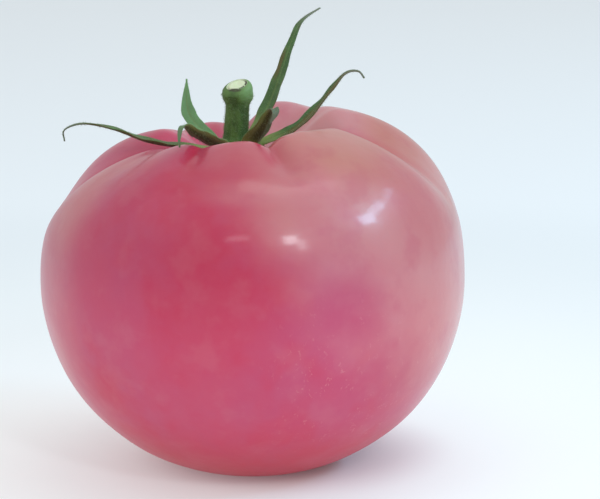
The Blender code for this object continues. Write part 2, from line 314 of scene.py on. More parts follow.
# Soft boxes: name, azimuth, elevation, (across, up), power, colour, distance from the fruit's middle
WINDOW_BLUE = (0.40, 0.72, 1.0)
LAMP_BLUE = (0.80, 0.95, 1.0)
LIGHTS = (
    ("key", -150, 50, (1.2, 1.2), 1.6, (1.0, 0.98, 0.96), 1.6),
    ("window", -17, 34, (0.28, 0.16), 3.8, WINDOW_BLUE, 1.3),
    ("window_middle", -1, 37, (0.36, 0.13), 2.3, WINDOW_BLUE, 1.3),
    ("window_end", 18, 36, (0.40, 0.08), 0.7, WINDOW_BLUE, 1.3),
    ("lamp", -69, 31, (0.14, 0.16), 2.0, LAMP_BLUE, 1.3),
    ("lamp_tail", -63, 26, (0.10, 0.20), 0.8, LAMP_BLUE, 1.3),
    ("lamp_left", -98, 34, (0.26, 0.10), 0.5, (0.90, 0.95, 1.0), 1.3),
    ("ceiling", -6, 80, (0.34, 0.80), 1.6, (1.0, 0.97, 0.93), 1.3),
)


def smoothstep(value):
    value = np.clip(value, 0.0, 1.0)
    return value * value * (3 - 2 * value)


def angle_between(azimuth, other):
    """Degrees from one azimuth to another, from -180 to 180."""
    return (azimuth - other + 180) % 360 - 180


def direction(turn, rise=0.0):
    """The way at these angles, round from +X and up from level, in radians."""
    return Vector((math.cos(turn) * math.cos(rise), math.sin(turn) * math.cos(rise), math.sin(rise)))


class Wire:
    """A shader node's output. Arithmetic on it adds Math nodes, and node() adds a node of any kind."""

    def __init__(self, tree, socket=None):
        self.tree = tree
        self.socket = socket

    def node(self, kind, settings, values, output=0):
        """Adds a node: its settings first, then a value or a wire for each of its sockets."""
        made = self.tree.nodes.new(kind)
        for name, setting in settings.items():
            setattr(made, name, setting)
        self.feed(made, values)
        return Wire(self.tree, made.outputs[output])

    def feed(self, made, values):
        """Gives a node's sockets these values and wires."""
        for name, value in values.items():
            if isinstance(value, Wire):
                self.tree.links.new(value.socket, made.inputs[name])
            else:
                made.inputs[name].default_value = value

    def math(self, operation, *values):
        return self.node("ShaderNodeMath", {"operation": operation}, dict(enumerate(values)))

    def __add__(self, other):
        return self.math("ADD", self, other)

    def __sub__(self, other):
        return self.math("SUBTRACT", self, other)

    def __rsub__(self, other):
        return self.math("SUBTRACT", other, self)

    def __mul__(self, other):
        return self.math("MULTIPLY", self, other)

    def __pow__(self, other):
        return self.math("POWER", self, other)

    def __abs__(self):
        return self.math("ABSOLUTE", self)

    __radd__ = __add__
    __rmul__ = __mul__

    def scaled(self, factors):
        """This vector, each part times its factor."""
        return self.node("ShaderNodeVectorMath", {"operation": "MULTIPLY"}, {0: self, 1: factors})

    def parts(self):
        """This vector's X, Y and Z."""
        split = self.node("ShaderNodeSeparateXYZ", {}, {0: self}).socket.node
        return [Wire(self.tree, output) for output in split.outputs]

    def fade(self, low, high):
        """0 below low and 1 above high, with a smooth step between. It falls where low is over high."""
        settings = {"interpolation_type": "SMOOTHSTEP"}
        flip = low > high
        ends = {"From Min": min(low, high), "From Max": max(low, high), "To Min": flip, "To Max": not flip}
        return self.node("ShaderNodeMapRange", settings, {"Value": self, **ends})

    def mix(self, first, second, blend="MIX"):
        """The colour from first to its blend with second, as this goes from 0 to 1."""
        settings = {"data_type": "RGBA", "blend_type": blend}
        return self.node("ShaderNodeMix", settings, {0: self, 6: first, 7: second}, output=2)

    def noise(self, scale, detail=2.0, roughness=0.5, stretch=(1, 1, 1)):
        """Noise from about 0.25 to 0.75 at these coordinates."""
        values = {"Vector": self.scaled(stretch), "Scale": scale, "Detail": detail, "Roughness": roughness}
        return self.node("ShaderNodeTexNoise", {}, values)

    def cells(self, scale):
        """Distance to the nearest of some scattered spots."""
        return self.node("ShaderNodeTexVoronoi", {}, {"Vector": self, "Scale": scale})

    def attribute(self, name):
        """The value that each corner of the mesh carries under this name."""
        return self.node("ShaderNodeAttribute", {"attribute_name": name}, {}, output="Fac")

    def relief(self, *layers):
        """A normal with bumps on bumps. Each layer is (height, strength, distance)."""
        under = {}
        for height, strength, distance in layers:
            values = {"Height": height, "Strength": strength, "Distance": distance, **under}
            under = {"Normal": self.node("ShaderNodeBump", {}, values)}
        return under["Normal"]


def new_finish(name, looks, settings):
    """A material whose Principled shader gets the values and wires that looks() works out."""
    made = bpy.data.materials.new(name)
    made.use_nodes = True
    place = Wire(made.node_tree).node("ShaderNodeTexCoord", {}, {}, output="Object")
    place.feed(made.node_tree.nodes["Principled BSDF"], looks(place, settings))
    return made


def radius_of(x, y):
    return (x * x + y * y) ** 0.5


def patch(place, spot):
    """1 well within a rounded patch of the surface, and 0 outside it."""
    middle, stretch, inner, outer = spot
    stretched = tuple(part * factor for part, factor in zip(middle, stretch))
    settings = {"operation": "DISTANCE"}
    values = {0: place.scaled(stretch), 1: stretched}
    return place.node("ShaderNodeVectorMath", settings, values, output="Value").fade(outer, inner)


def area(wires, spans):
    """The product of the fades that these spans give, each with the name of its wire."""
    fades = [getattr(wires, name).fade(start, end) for name, start, end in spans]
    return math.prod(fades[1:], start=fades[0])


def layered(colour, layers, blend="MIX"):
    """The colour under these layers, each of them a mask and the colour that it lays on."""
    for mask, over in layers:
        colour = mask.mix(colour, over, blend)
    return colour


def skin_wires(place):
    """What the skin's colours go by: where a spot lies, and noise of several sizes."""
    x, y, height = place.parts()
    return SimpleNamespace(
        x=x,
        y=y,
        height=height,
        radius=radius_of(x - CALYX_SHIFT, y),
        clouds=place.noise(24, 3.0, 0.55),
        drifts=place.noise(62, 3.0, 0.6, (1, 1, 0.8)),
        mottles=place.noise(115, 3.0, 0.55),
        grain=place.noise(240, 4.0, 0.65),
    )


def skin_areas(place, skin, lit_hollow, settings):
    """Layers for the skin's broad areas, from its crimson front to the far side of the cavity, painted paler
    as if lit.
    """
    red = patch(place, CRIMSON_FRONT) + patch(place, CRIMSON_SPOT) * 0.5 + area(skin, CRIMSON_FOOT)
    ragged = (skin.clouds - 0.5) * 0.030 + (skin.drifts - 0.5) * 0.022
    slant = skin.x * PALE_SLANT[0] + skin.height * PALE_SLANT[1] + ragged
    rim = patch(place, RIM)
    return (
        (skin.clouds.fade(0.40, 0.62), settings.magenta),
        (red + skin.drifts.fade(0.46, 0.66) * 0.45, settings.crimson),
        # Paler towards the upper right: partly the skin's own dusty pink, partly painted sheen from the light
        # on the right
        (slant.fade(*PALE_FADE) * (area(skin, ABOVE_FOOT) * 0.75 + 0.25), settings.pale),
        (area(skin, WARM_SIDE) * 0.85, settings.tan),
        (patch(place, CREST) * 0.45 + patch(place, SHOULDER) * 0.25 + rim * 0.05, settings.tan),
        # Painted sheen: a pale band below the near shoulder and a paler left edge stand for reflections
        (area(skin, PAINTED_SHEEN_BAND) * 0.32 + area(skin, LEFT_RIM_SHEEN) * 0.45, settings.pale),
        (patch(place, PINK_FLUSH) * 0.42, settings.body),
        (patch(place, MAGENTA_SPOT) * 0.80, settings.magenta),
        (rim * 0.30, settings.crimson),
        # Painted light: the far side of the cavity is painted paler as if lit
        (lit_hollow * 0.80, settings.pale),
    )


def skin_flecks(place, skin):
    """A mask of fine pale flecks, thickest low on the right."""
    specks = place.noise(1100, 3.0, 0.7, (1, 1, 0.7)).fade(0.56, 0.66)
    clusters = place.noise(330, 2.0, 0.6).fade(0.44, 0.60)
    strewn = area(skin, FLECKED_SIDE) * 0.95 + 0.05
    return specks * clusters * strewn * skin.drifts.fade(0.40, 0.54)


def skin_marks(place, skin, flecks, settings):
    """Layers for the skin's fine marks."""
    return (
        (place.attribute("furrow").fade(0.15, 0.9) * 0.5, settings.crimson),
        (place.attribute("streak") * 0.90, settings.crimson),
        (skin.mottles.fade(0.48, 0.70) * 0.26, settings.magenta),
        (skin.mottles.fade(0.50, 0.30) * 0.10, settings.pale),
        (flecks * 0.30, settings.fleck),
        ((skin.grain - 0.5) * 0.10 + 0.05, settings.pale),
    )


def skin_looks(place, settings):
    """Ripe pink skin: crimson low on the left, paling to dusty pink and tan towards the upper right, partly as
    painted sheen, with painted shade over the upper half, the top and near the ground.
    """
    skin = skin_wires(place)
    lit_hollow = area(skin, LIT_HOLLOW)
    flecks = skin_flecks(place, skin)
    cork = area(skin, CORK_RING)
    frayed = place.noise(900, 3.0, 0.6).fade(0.35, 0.6)
    # Painted shade over the upper half, the top and near the ground, held back on the far side of the cavity;
    # the right side is dulled as well
    shades = (
        (area(skin, UPPER_HALF), UPPER_PAINTED_SHADE),
        (area(skin, TOP) * (1 - lit_hollow * 0.8), TOP_PAINTED_SHADE),
        (area(skin, RIGHT_SIDE), RIGHT_SHADE),
        (area(skin, GROUND), GROUND_PAINTED_SHADE),
    )
    colour = layered(settings.body, skin_areas(place, skin, lit_hollow, settings))
    colour = layered(colour, skin_marks(place, skin, flecks, settings))
    colour = layered(colour, shades, "MULTIPLY")
    colour = layered(colour, ((cork * frayed, settings.cork), (area(skin, SCAR), settings.cork)))
    return {
        "Base Color": colour,
        "Roughness": skin.clouds.fade(0.3, 0.7) * 0.05 + settings.roughness + flecks * 0.1 + cork * 0.3,
        "Specular IOR Level": 0.35,
        "Subsurface Weight": settings.translucency,
        "Subsurface Radius": (1.0, 0.32, 0.30),
        "Subsurface Scale": 0.003,
        "Coat Weight": (area(skin, WAXED_SIDE) * 0.34 + settings.wax) * area(skin, WAXED_HEIGHT),
        "Coat Roughness": settings.wax_roughness,
        "Normal": place.relief(
            (skin.grain, 0.12, 0.0003), (place.noise(130), 0.15, 0.001), (flecks, 0.12, 0.0002)
        ),
    }


def sepal_looks(place, settings):
    """Green blades, some powdery and some withering to brown, with a paler rib and foot and grey tips."""
    along, across, inner, pale, brown, margin = (place.attribute(name) for name in BLADE_VALUES)
    aside = abs(across)
    blotches = place.noise(420, 3.0, 0.6)
    blotched = blotches.fade(0.35, 0.65)
    inside = pale.mix(blotched.mix(settings.inside_deep, settings.inside), settings.powdery)
    outside = blotched.mix(settings.outside_deep, settings.outside)
    outside = (margin.fade(0.35, 0.80) * 0.45).mix(outside, settings.rib)
    withered = brown * place.noise(170).fade(0.34, 0.54) * along.fade(0.10, 0.30) * margin.fade(0.60, 0.10)
    edge = aside.fade(0.84, 0.98) * place.noise(300).fade(0.46, 0.60) * (1 - pale)
    layers = (
        (withered * 0.9, settings.brown),
        (aside.fade(0.20, 0.04) * inner * 0.22, settings.rib),
        (edge * 0.6, settings.brown),
        (along.fade(0.28, 0.08) * 0.80, settings.rib),
        (patch(place, SEPAL_STAIN) * across.fade(0.15, 0.45) * 0.8, settings.brown),
        (along.fade(0.72, 0.92) * (1 - pale) * 0.75, settings.dry),
    )
    return {
        "Base Color": layered(inner.mix(outside, inside), layers),
        "Roughness": blotches * 0.2 + 0.45,
        "Specular IOR Level": 0.22,
        "Subsurface Weight": 0.15,
        "Subsurface Radius": (0.4, 1.0, 0.2),
        "Subsurface Scale": 0.0006,
        "Sheen Weight": 0.05,
        "Normal": place.relief((place.noise(2600, 3.0, 0.6), 0.25, 0.0001), (blotches, 0.2, 0.0003)),
    }


def stem_looks(place, settings):
    """Rough green bark with pale grain, a knuckle painted lighter on its lit right side, and the pale cut face
    with its dark, cracked rim.
    """
    x, _, height = place.parts()
    grain = place.noise(1500, 3.0, 0.6)
    patches = place.noise(380, stretch=(1, 1, 0.5))
    fibres = place.cells(2600).fade(0.15, 0.6)
    knuckle = height.fade(*KNUCKLE_HEIGHTS)
    bark_layers = (
        (grain.fade(0.55, 0.72) * 0.40, settings.grain),
        # Painted light: the knuckle is painted paler on its right, where the light falls, and a little paler
        # all round
        (knuckle * x.fade(*KNUCKLE_LIT_SIDE) * 0.75 + knuckle * 0.12, settings.grain),
        (height.fade(*STEM_FOOT_HEIGHTS) * 0.40, settings.grain),
    )
    crack_layers = (
        (place.attribute("crack") * grain.fade(0.30, 0.50), settings.crack),
        (patch(place, CUT_LIP) * grain.fade(0.38, 0.50) * 0.90, settings.crack),
    )
    bark = layered(patches.fade(0.38, 0.62).mix(settings.bark, settings.bark_deep), bark_layers)
    cut = (fibres * 0.35).mix(settings.pith, settings.pith_deep)
    return {
        "Base Color": layered(place.attribute("pith").mix(bark, cut), crack_layers),
        "Roughness": grain * 0.25 + 0.45,
        "Specular IOR Level": 0.35,
        "Subsurface Weight": 0.10,
        "Subsurface Radius": (0.5, 1.0, 0.3),
        "Subsurface Scale": 0.0008,
        "Normal": place.relief((grain, 0.5, 0.0002), (fibres, 0.15, 0.0001)),
    }


def hair_looks(place, settings):
    """Fine, dull green hairs."""
    darker = (*(0.75 * part for part in settings.colour[:3]), 1.0)
    colour = place.noise(500, 1.0).fade(0.3, 0.7).mix(settings.colour, darker)
    return {"Base Color": colour, "Roughness": 0.45}


def floor_looks(place, settings):
    """A white floor, lit a little from below by a painted glow near the fruit, that turns paler and bluer with
    distance. By the contact the glow is held back for a contact shadow and turned pink as painted light
    bounced from the fruit.
    """
    x, y, _ = place.parts()
    radius = radius_of(x, y)
    # Painted glow: the floor glows near the fruit, less by the contact, and pink there as bounced light
    contact_shade_and_bounce = patch(place, CONTACT_SHADE)
    glow = radius.fade(0.31, 0.05) * (1 - contact_shade_and_bounce * 0.85)
    return {
        "Base Color": radius.fade(0.09, 0.36).mix(settings.near, settings.far),
        "Roughness": 0.85,
        "Specular IOR Level": 0.1,
        "Emission Color": glow.mix((0, 0, 0, 1), contact_shade_and_bounce.mix(settings.glow, PAINTED_BOUNCE_GLOW)),
        "Emission Strength": settings.glow_strength,
    }


def add_piece(name, points, faces, finish):
    """Links a smooth mesh with its finish."""
    data = bpy.data.meshes.new(name)
    data.from_pydata([tuple(point) for point in points], [], faces)
    data.materials.append(finish)
    data.shade_smooth()
    made = bpy.data.objects.new(name, data)
    bpy.context.scene.collection.objects.link(made)
    return made


def write_values(piece, name, values):
    """Stores one number for each corner of a piece's mesh."""
    made = piece.data.attributes.new(name, "FLOAT", "POINT")
    made.data.foreach_set("value", np.asarray(values, np.float32))


def place_on_frame(piece, node):
    """Hides the solid that a piece stands for and attaches the piece to the root body."""
    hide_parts(node)
    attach(piece, "root")


def ring_faces(start, rows, columns):
    """Faces between rings of corners that follow each other from this corner on."""
    faces = []
    for row in range(rows - 1):
        here = start + row * columns
        for i in range(columns):
            j = (i + 1) % columns
            faces.append((here + i, here + j, here + columns + j, here + columns + i))
    return faces


def closed_rings(rings, low_pole, high_pole):
    """Corners and faces of equal rings, closed at each end by a fan to a pole."""
    rows, columns = len(rings), len(rings[0])
    low = rows * columns
    last = low - columns
    pairs = [(i, (i + 1) % columns) for i in range(columns)]
    faces = ring_faces(0, rows, columns)
    faces += [(low, j, i) for i, j in pairs]
    faces += [(low + 1, last + i, last + j) for i, j in pairs]
    return [*(point for ring in rings for point in ring), low_pole, high_pole], faces


def crown(azimuth):
    """(rise of the crown above the belly, fullness of the shoulder) in these directions."""
    first = CROWN[0]
    entries = [*CROWN, (first[0] + 360, *first[1:])]
    starts, rises, fullness = (np.array(column, float) for column in zip(*entries))
    turned = (azimuth - starts[0]) % 360 + starts[0]
    before = np.clip(np.searchsorted(starts, turned, side="right") - 1, 0, len(CROWN) - 1)
    share = smoothstep((turned - starts[before]) / (starts[before + 1] - starts[before]))
    rise = rises[before] + (rises[before + 1] - rises[before]) * share
    full = fullness[before] + (fullness[before + 1] - fullness[before]) * share
    return rise / 1000, full


def profile_point(azimuth, slope):
    """(radius, height) of the plain body with its cavity, at these angles up from the belly's middle."""
    above = slope > 0
    rise, fullness = crown(azimuth)
    rise = np.where(above, rise, LOWER_DROP)
    fullness = np.where(above, fullness, LOWER_FULLNESS)
    across = np.maximum(0.0, np.cos(slope))
    up = np.abs(np.sin(slope))
    size = (across**fullness + up**fullness) ** (-1 / fullness)
    radius = HALF_WIDTH * across * size
    height = BELLY_HEIGHT + np.copysign(rise * up * size, slope)
    wall = smoothstep((radius - CAVITY_FLOOR_RADIUS) / (CAVITY_RIM_RADIUS - CAVITY_FLOOR_RADIUS))
    return radius, np.where(above, CAVITY_FLOOR + (height - CAVITY_FLOOR) * wall, height)


def profile_normal(azimuth, slope):
    """Outward directions, as (out, up), in the plane of the profile."""
    low = profile_point(azimuth, slope - 0.01)
    high = profile_point(azimuth, np.minimum(math.pi / 2, slope + 0.01))
    out = high[0] - low[0]
    up = high[1] - low[1]
    length = np.hypot(out, up)
    return up / length, -out / length


def furrow_depth(azimuth, radius, height):
    """How far the furrows take the skin in. They fade out in the cavity's floor and down the side."""
    total = np.zeros_like(azimuth)
    for middle, depth, half_width, fade_height, full_height in FURROWS:
        across = np.abs(angle_between(azimuth, middle)) / half_width
        along = smoothstep((height - fade_height) / (full_height - fade_height))
        total += depth * np.exp(-(across**FURROW_SHARPNESS)) * along
    return total * smoothstep((radius - CAVITY_FLOOR_RADIUS) / 0.012)


def streak_strength(azimuth, height):
    """How much of the red streaks' colour the skin has, from 0 to 1."""
    total = np.zeros_like(azimuth)
    for crest, drift, half_width, fade_height, full_height in STREAKS:
        middle = crest + drift * (CREST_HEIGHT - height) * 1000
        along = smoothstep((height - fade_height) / (full_height - fade_height))
        total += np.exp(-((angle_between(azimuth, middle) / half_width) ** 2)) * along
    return total


def fine_relief(azimuth, radius, height):
    """Broad unevenness of the skin, and creases that run out of the cavity."""
    turn = np.radians(azimuth)
    spots = np.stack([radius * np.cos(turn), radius * np.sin(turn), height], axis=-1) / UNEVENNESS_SIZE
    around = np.stack([np.cos(turn), np.sin(turn), radius * 20], axis=-1) * CREASES_ROUND
    mask = smoothstep((radius - 0.007) / 0.004) * smoothstep((0.030 - radius) / 0.014)
    mask *= smoothstep((height - 0.070) / 0.004)
    total = np.zeros_like(azimuth)
    for index in np.ndindex(azimuth.shape):
        total[index] = UNEVENNESS * noise.noise(Vector(spots[index]))
        if mask[index] > 0:
            total[index] += CREASE_DEPTH * mask[index] * noise.noise(Vector(around[index]))
    return total


def skin_rings(columns, rows):
    """(rings of the skin's corners, how deep each lies in a furrow, its share of a streak), from 0 to 1."""
    top = math.atan2(HALF_WIDTH, 0.25 * CAVITY_FLOOR_RADIUS)
    first = -math.pi / 2 + 0.02
    share = 1 - (1 - np.linspace(0, 1, rows)) ** ROW_CROWDING
    slopes = first + (top - first) * share
    azimuth, slope = np.meshgrid(360 * np.arange(columns) / columns, slopes)
    radius, height = profile_point(azimuth, slope)
    out, up = profile_normal(azimuth, slope)
    depth = furrow_depth(azimuth, radius, height)
    moved = fine_relief(azimuth, radius, height) * smoothstep(height / 0.010) - depth
    radius = radius + moved * out
    height = height + moved * up
    turn = np.radians(azimuth)
    upper = smoothstep((height - 0.6 * BELLY_HEIGHT) / (0.7 * BELLY_HEIGHT))
    shift = CALYX_SHIFT * upper * (1 - radius / HALF_WIDTH)
    x = radius * np.cos(turn) + shift
    y = radius * np.sin(turn) * HALF_DEPTH / HALF_WIDTH
    rounded = 0.5 * (height + np.sqrt(height * height + 4 * FOOT_SOFTNESS**2))
    height = rounded - rounded.min() + SCAR_DIMPLE * np.exp(-((radius / SCAR_RADIUS) ** 2))
    height -= height.min()
    deepest = max(entry[1] for entry in FURROWS)
    return np.stack([x, y, height], axis=-1), depth / deepest, streak_strength(azimuth, height)


def build_fruit(settings):
    rings, furrow, streak = skin_rings(settings.columns, settings.rows)
    points, faces = closed_rings(rings, rings[0].mean(axis=0), rings[-1].mean(axis=0))
    skin = add_piece("fruit_skin", points, faces, new_finish("ripe_skin", skin_looks, settings))
    for name, values in (("furrow", furrow), ("streak", streak)):
        write_values(skin, name, [*values.ravel(), 0.0, 0.0])
    place_on_frame(skin, "fruit")


def curve_through(points, count):
    """Evenly spaced places on a smooth curve through the points."""
    ends = [2 * points[0] - points[1], *points, 2 * points[-1] - points[-2]]
    fine = []
    for a, b, c, d in zip(ends, ends[1:], ends[2:], ends[3:]):
        for step in range(CURVE_STEPS):
            t = step / CURVE_STEPS
            square = (2 * a - 5 * b + 4 * c - d) * t * t
            cube = (3 * b - a - 3 * c + d) * t**3
            fine.append(0.5 * (2 * b + (c - a) * t + square + cube))
    fine.append(points[-1])
    lengths = [0.0]
    for start, end in zip(fine, fine[1:]):
        lengths.append(lengths[-1] + (end - start).length)
    placed = []
    for i in range(count):
        target = lengths[-1] * i / (count - 1)
        k = max(1, next((n for n, length in enumerate(lengths) if length >= target - 1e-9), len(fine) - 1))
        part = (target - lengths[k - 1]) / (lengths[k] - lengths[k - 1])
        placed.append(fine[k - 1].lerp(fine[k], part))
    return placed


def blade_width(share, widest, broadest, foot):
    """Width along a sepal: it swells from the foot and then tapers to the tip."""
    swell = foot + (1 - foot) * math.sin(math.pi / 2 * min(1.0, share / broadest))
    taper = max(0.0, 1 - max(0.0, share - broadest) / (1 - broadest)) ** SEPAL_TAPER
    return max(TIP_WIDTH, widest / 1000 * swell * taper)


def blade_section(width, share, waves):
    """One section of a sepal as rows of (across, up, share across, inner), all the way round."""
    half = width / 2
    thin = min(1.0, width / FULL_WIDTH)
    root = 1 + (ROOT_THICKENING - 1) * float(smoothstep(1 - share / ROOT_SHARE))
    fold = FOLD * (1 - 0.6 * share)
    upper = []
    under = []
    for step in range(-BLADE_HALVES, BLADE_HALVES + 1):
        across = step / BLADE_HALVES
        away = abs(across)
        wave = waves[across > 0] * away**2 * thin
        middle = fold * half * away**1.6 + wave
        middle_thickness = MIDDLE_THICKNESS * (0.55 + 0.45 * thin) * root
        thick = EDGE_THICKNESS + (middle_thickness - EDGE_THICKNESS) * (1 - away**1.5)
        groove = GROOVE_DEPTH * thin * math.exp(-((across / GROOVE_WIDTH) ** 2))
        rib = RIB_HEIGHT * thin * (1 - share) * math.exp(-((across / RIB_WIDTH) ** 2))
        upper.append((across * half, middle + thick / 2 - groove, across, 1.0))
        under.append((across * half, middle - thick / 2 - rib, across, 0.0))
    return under + upper[::-1]


def blade_rings(form, midline, tone, draw):
    """Rings of corners along one sepal, and each corner's BLADE_VALUES."""
    azimuth, widest, broadest, foot, foot_twist, twist, sweep = form
    pale, brown, side_lit = tone
    turn = math.radians(azimuth)
    outward = direction(turn)
    sideways = Vector((-math.sin(turn), math.cos(turn), 0))
    middle = Vector((CALYX_SHIFT, 0, CALYX_TOP))
    points = [middle + (outward * out + Vector((0, 0, up))) / 1000 for out, up in midline]
    places = curve_through(points, BLADE_STATIONS)
    last = BLADE_STATIONS - 1
    for i, place in enumerate(places):
        place += sideways * sweep / 1000 * (i / last) ** 2
    length = sum((b - a).length for a, b in zip(places, places[1:]))
    phases = [draw.uniform(0, math.tau) for _ in range(4)]
    rings = []
    values = []
    for i, place in enumerate(places):
        share = i / last
        along = (places[min(last, i + 1)] - places[max(0, i - 1)]).normalized()
        turned_by = foot_twist + (twist - foot_twist) * float(smoothstep(share / 0.5))
        turned = Matrix.Rotation(math.radians(turned_by), 3, along)
        upward = turned @ along.cross(sideways).normalized()
        across = upward.cross(along)
        travel = share * length / EDGE_WAVE_LENGTH * math.tau
        wave = EDGE_WAVE * float(smoothstep(share / 0.2))
        waves = [wave * math.sin(travel * (1 + 0.2 * k) + phases[k]) for k in (0, 1)]
        uneven = 1 + 0.035 * math.sin(travel * 0.8 + phases[2]) + 0.025 * math.sin(travel * 1.9 + phases[3])
        section = blade_section(blade_width(share, widest, broadest, foot) * uneven, share, waves)
        rings.append([place + across * side + upward * rise for side, rise, _, _ in section])
        values.append([(share, part, inner, pale, brown, part * side_lit) for _, _, part, inner in section])
    return rings, values


def receptacle_rings():
    """The low dome that the sepals grow from, raised towards each of them."""
    height = CALYX_TOP - CALYX_LOW.z
    rings = []
    for share, lift in RECEPTACLE_PROFILE:
        ring = []
        for column in range(RECEPTACLE_COLUMNS):
            azimuth = 360 * column / RECEPTACLE_COLUMNS
            across = min(abs(angle_between(azimuth, form[0])) for form, _ in SEPALS)
            near = math.exp(-((across / SEPAL_FOOT_SPREAD) ** 2))
            turn = math.radians(azimuth)
            radius = RECEPTACLE_RADIUS * share * (1 + RECEPTACLE_BULGE * near * share)
            top = CALYX_LOW.z + height * lift * (1 + RECEPTACLE_LIFT * near * (share > 0.6))
            ring.append((CALYX_SHIFT + radius * math.cos(turn), radius * math.sin(turn), min(top, CALYX_TOP)))
        rings.append(ring)
    return rings


def build_calyx(settings):
    draw = random.Random(settings.seed)
    dome = receptacle_rings()
    grown = [(dome, [[DOME_VALUES] * RECEPTACLE_COLUMNS] * len(dome))]
    for (form, midline), tone in zip(SEPALS, SEPAL_TONES):
        grown.append(blade_rings(form, midline, tone, draw))
    points = []
    faces = []
    values = []
    for rings, ring_values in grown:
        start = len(points)
        size = len(rings[0])
        points += [point for ring in rings for point in ring]
        values += [entry for row in ring_values for entry in row]
        faces += ring_faces(start, len(rings), size)
        faces.append(range(start, start + size)[::-1])
        faces.append(range(len(points) - size, len(points)))
    calyx = add_piece("calyx_star", points, faces, new_finish("sepal_green", sepal_looks, settings))
    for name, column in zip(BLADE_VALUES, zip(*values)):
        write_values(calyx, name, column)
    place_on_frame(calyx, "calyx")


def stem_ring(height, radius, sink=0.0):
    """One ring of the stem. It tilts with the cut towards the top, and sink takes it down."""
    tilt_way = direction(CUT_AZIMUTH)
    bend = float(smoothstep((height - CUT_BEND_START) / (STEM_TOP - CUT_BEND_START)))
    lean = CALYX_SHIFT + STEM_SHIFT + STEM_LEAN * height / STEM_TOP
    middle = Vector((lean, 0, CALYX_TOP + height - sink)) + tilt_way * CUT_SHIFT * bend
    ring = []
    for column in range(STEM_COLUMNS):
        turn = math.tau * column / STEM_COLUMNS
        way = direction(turn)
        ridge = 1 + STEM_RIDGE_DEPTH * (1 - bend) * math.cos(STEM_RIDGES * turn)
        ridge += STEM_FIBRE_DEPTH * (1 - bend) * math.sin(STEM_FIBRES * turn + STEM_TWIST * height)
        flat = way * radius * ridge
        drop = -flat.dot(tilt_way) * math.tan(CUT_TILT) * bend
        spot = middle + flat + Vector((0, 0, drop))
        grain = noise.noise(spot * 1400) + 0.6 * noise.noise(spot * 3200)
        ring.append(spot + way * STEM_GRAIN * grain)
    return ring


def build_stem(settings):
    side = [Vector((height, radius, 0)) / 1000 for height, radius in STEM_PROFILE]
    rings = [stem_ring(place.x, place.y) for place in curve_through(side, STEM_ROWS)]
    values = [(0.0, 0.0)] * STEM_ROWS
    for share, sink, pith, crack in CUT_PROFILE:
        rings.append(stem_ring(STEM_TOP, CUT_RADIUS * share, sink / 1000))
        values.append((pith, crack))
    low = Vector((CALYX_SHIFT + STEM_SHIFT, 0, CALYX_TOP + STEM_PROFILE[0][0] / 1000))
    high = sum(rings[-1], Vector()) / STEM_COLUMNS
    finish = new_finish("stem_green", stem_looks, settings)
    stem = add_piece("stem_stub", *closed_rings(rings, low, high), finish)
    around = np.radians(360 * np.arange(STEM_COLUMNS) / STEM_COLUMNS - CRACK_AZIMUTH)
    cracked = 0.15 + 0.85 * smoothstep(0.6 + 0.9 * np.cos(around))
    pith, crack = np.array(values).T[:, :, None]
    write_values(stem, "pith", [*(pith * np.ones(STEM_COLUMNS)).ravel(), 0.0, 1.0])
    write_values(stem, "crack", [*(crack * cracked).ravel(), 0.0, 0.0])
    place_on_frame(stem, "stem")


def scatter(source, count, heights, draw):
    """Spots and outward directions spread at random over a mesh, between two heights."""
    data = source.data
    data.calc_loop_triangles()
    triangles = data.loop_triangles
    areas = np.array([triangle.area for triangle in triangles]).cumsum()
    found = []
    while len(found) < count:
        chosen = int(np.searchsorted(areas, draw.random() * areas[-1]))
        triangle = triangles[min(len(triangles) - 1, chosen)]
        a, b = draw.random(), draw.random()
        if a + b > 1:
            a, b = 1 - a, 1 - b
        corners = [data.vertices[index] for index in triangle.vertices]
        spot = corners[0].co * (1 - a - b) + corners[1].co * a + corners[2].co * b
        if heights[0] < spot.z < heights[1]:
            found.append((spot, triangle.normal.copy()))
    return found


def build_hairs(name, source, count, heights, settings, finish):
    """Short, slim hairs on a piece, each a pyramid with three sides."""
    draw = random.Random(settings.seed)
    points = []
    faces = []
    for spot, normal in scatter(source, count, heights, draw):
        lean = Vector([draw.gauss(0, HAIR_LEAN) for _ in range(3)])
        way = (normal + lean).normalized()
        side = way.orthogonal().normalized()
        other = way.cross(side)
        reach = settings.length * draw.uniform(*HAIR_LENGTHS)
        thick = settings.thickness * draw.uniform(*HAIR_THICKNESSES)
        start = len(points)
        for i in range(HAIR_SIDES):
            turn = math.tau * i / HAIR_SIDES
            points.append(spot - way * thick + (side * math.cos(turn) + other * math.sin(turn)) * thick)
        points.append(spot + way * reach)
        for i in range(HAIR_SIDES):
            faces.append((start + i, start + (i + 1) % HAIR_SIDES, start + HAIR_SIDES))
        faces.append([start + i for i in range(HAIR_SIDES)][::-1])
    hairs = add_piece(name, points, faces, finish)
    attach(hairs, "root")


def aim_object(name, data, target, way, distance):
    """Links a light or a camera that looks at the target from this direction."""
    made = bpy.data.objects.new(name, data)
    made.location = target + way * distance
    made.rotation_mode = "QUATERNION"
    made.rotation_quaternion = (-way).to_track_quat("-Z", "Y")
    bpy.context.scene.collection.objects.link(made)
    return made


def build_light(name, azimuth, elevation, size, power, colour, distance):
    """A soft box that faces the fruit's middle."""
    data = bpy.data.lights.new(name, "AREA")
    data.shape = "RECTANGLE"
    data.size, data.size_y = size
    data.energy = power
    data.color = colour
    way = direction(math.radians(azimuth), math.radians(elevation))
    light = aim_object(name, data, Vector((0, 0, BELLY_HEIGHT)), way, distance)
    light.visible_camera = False


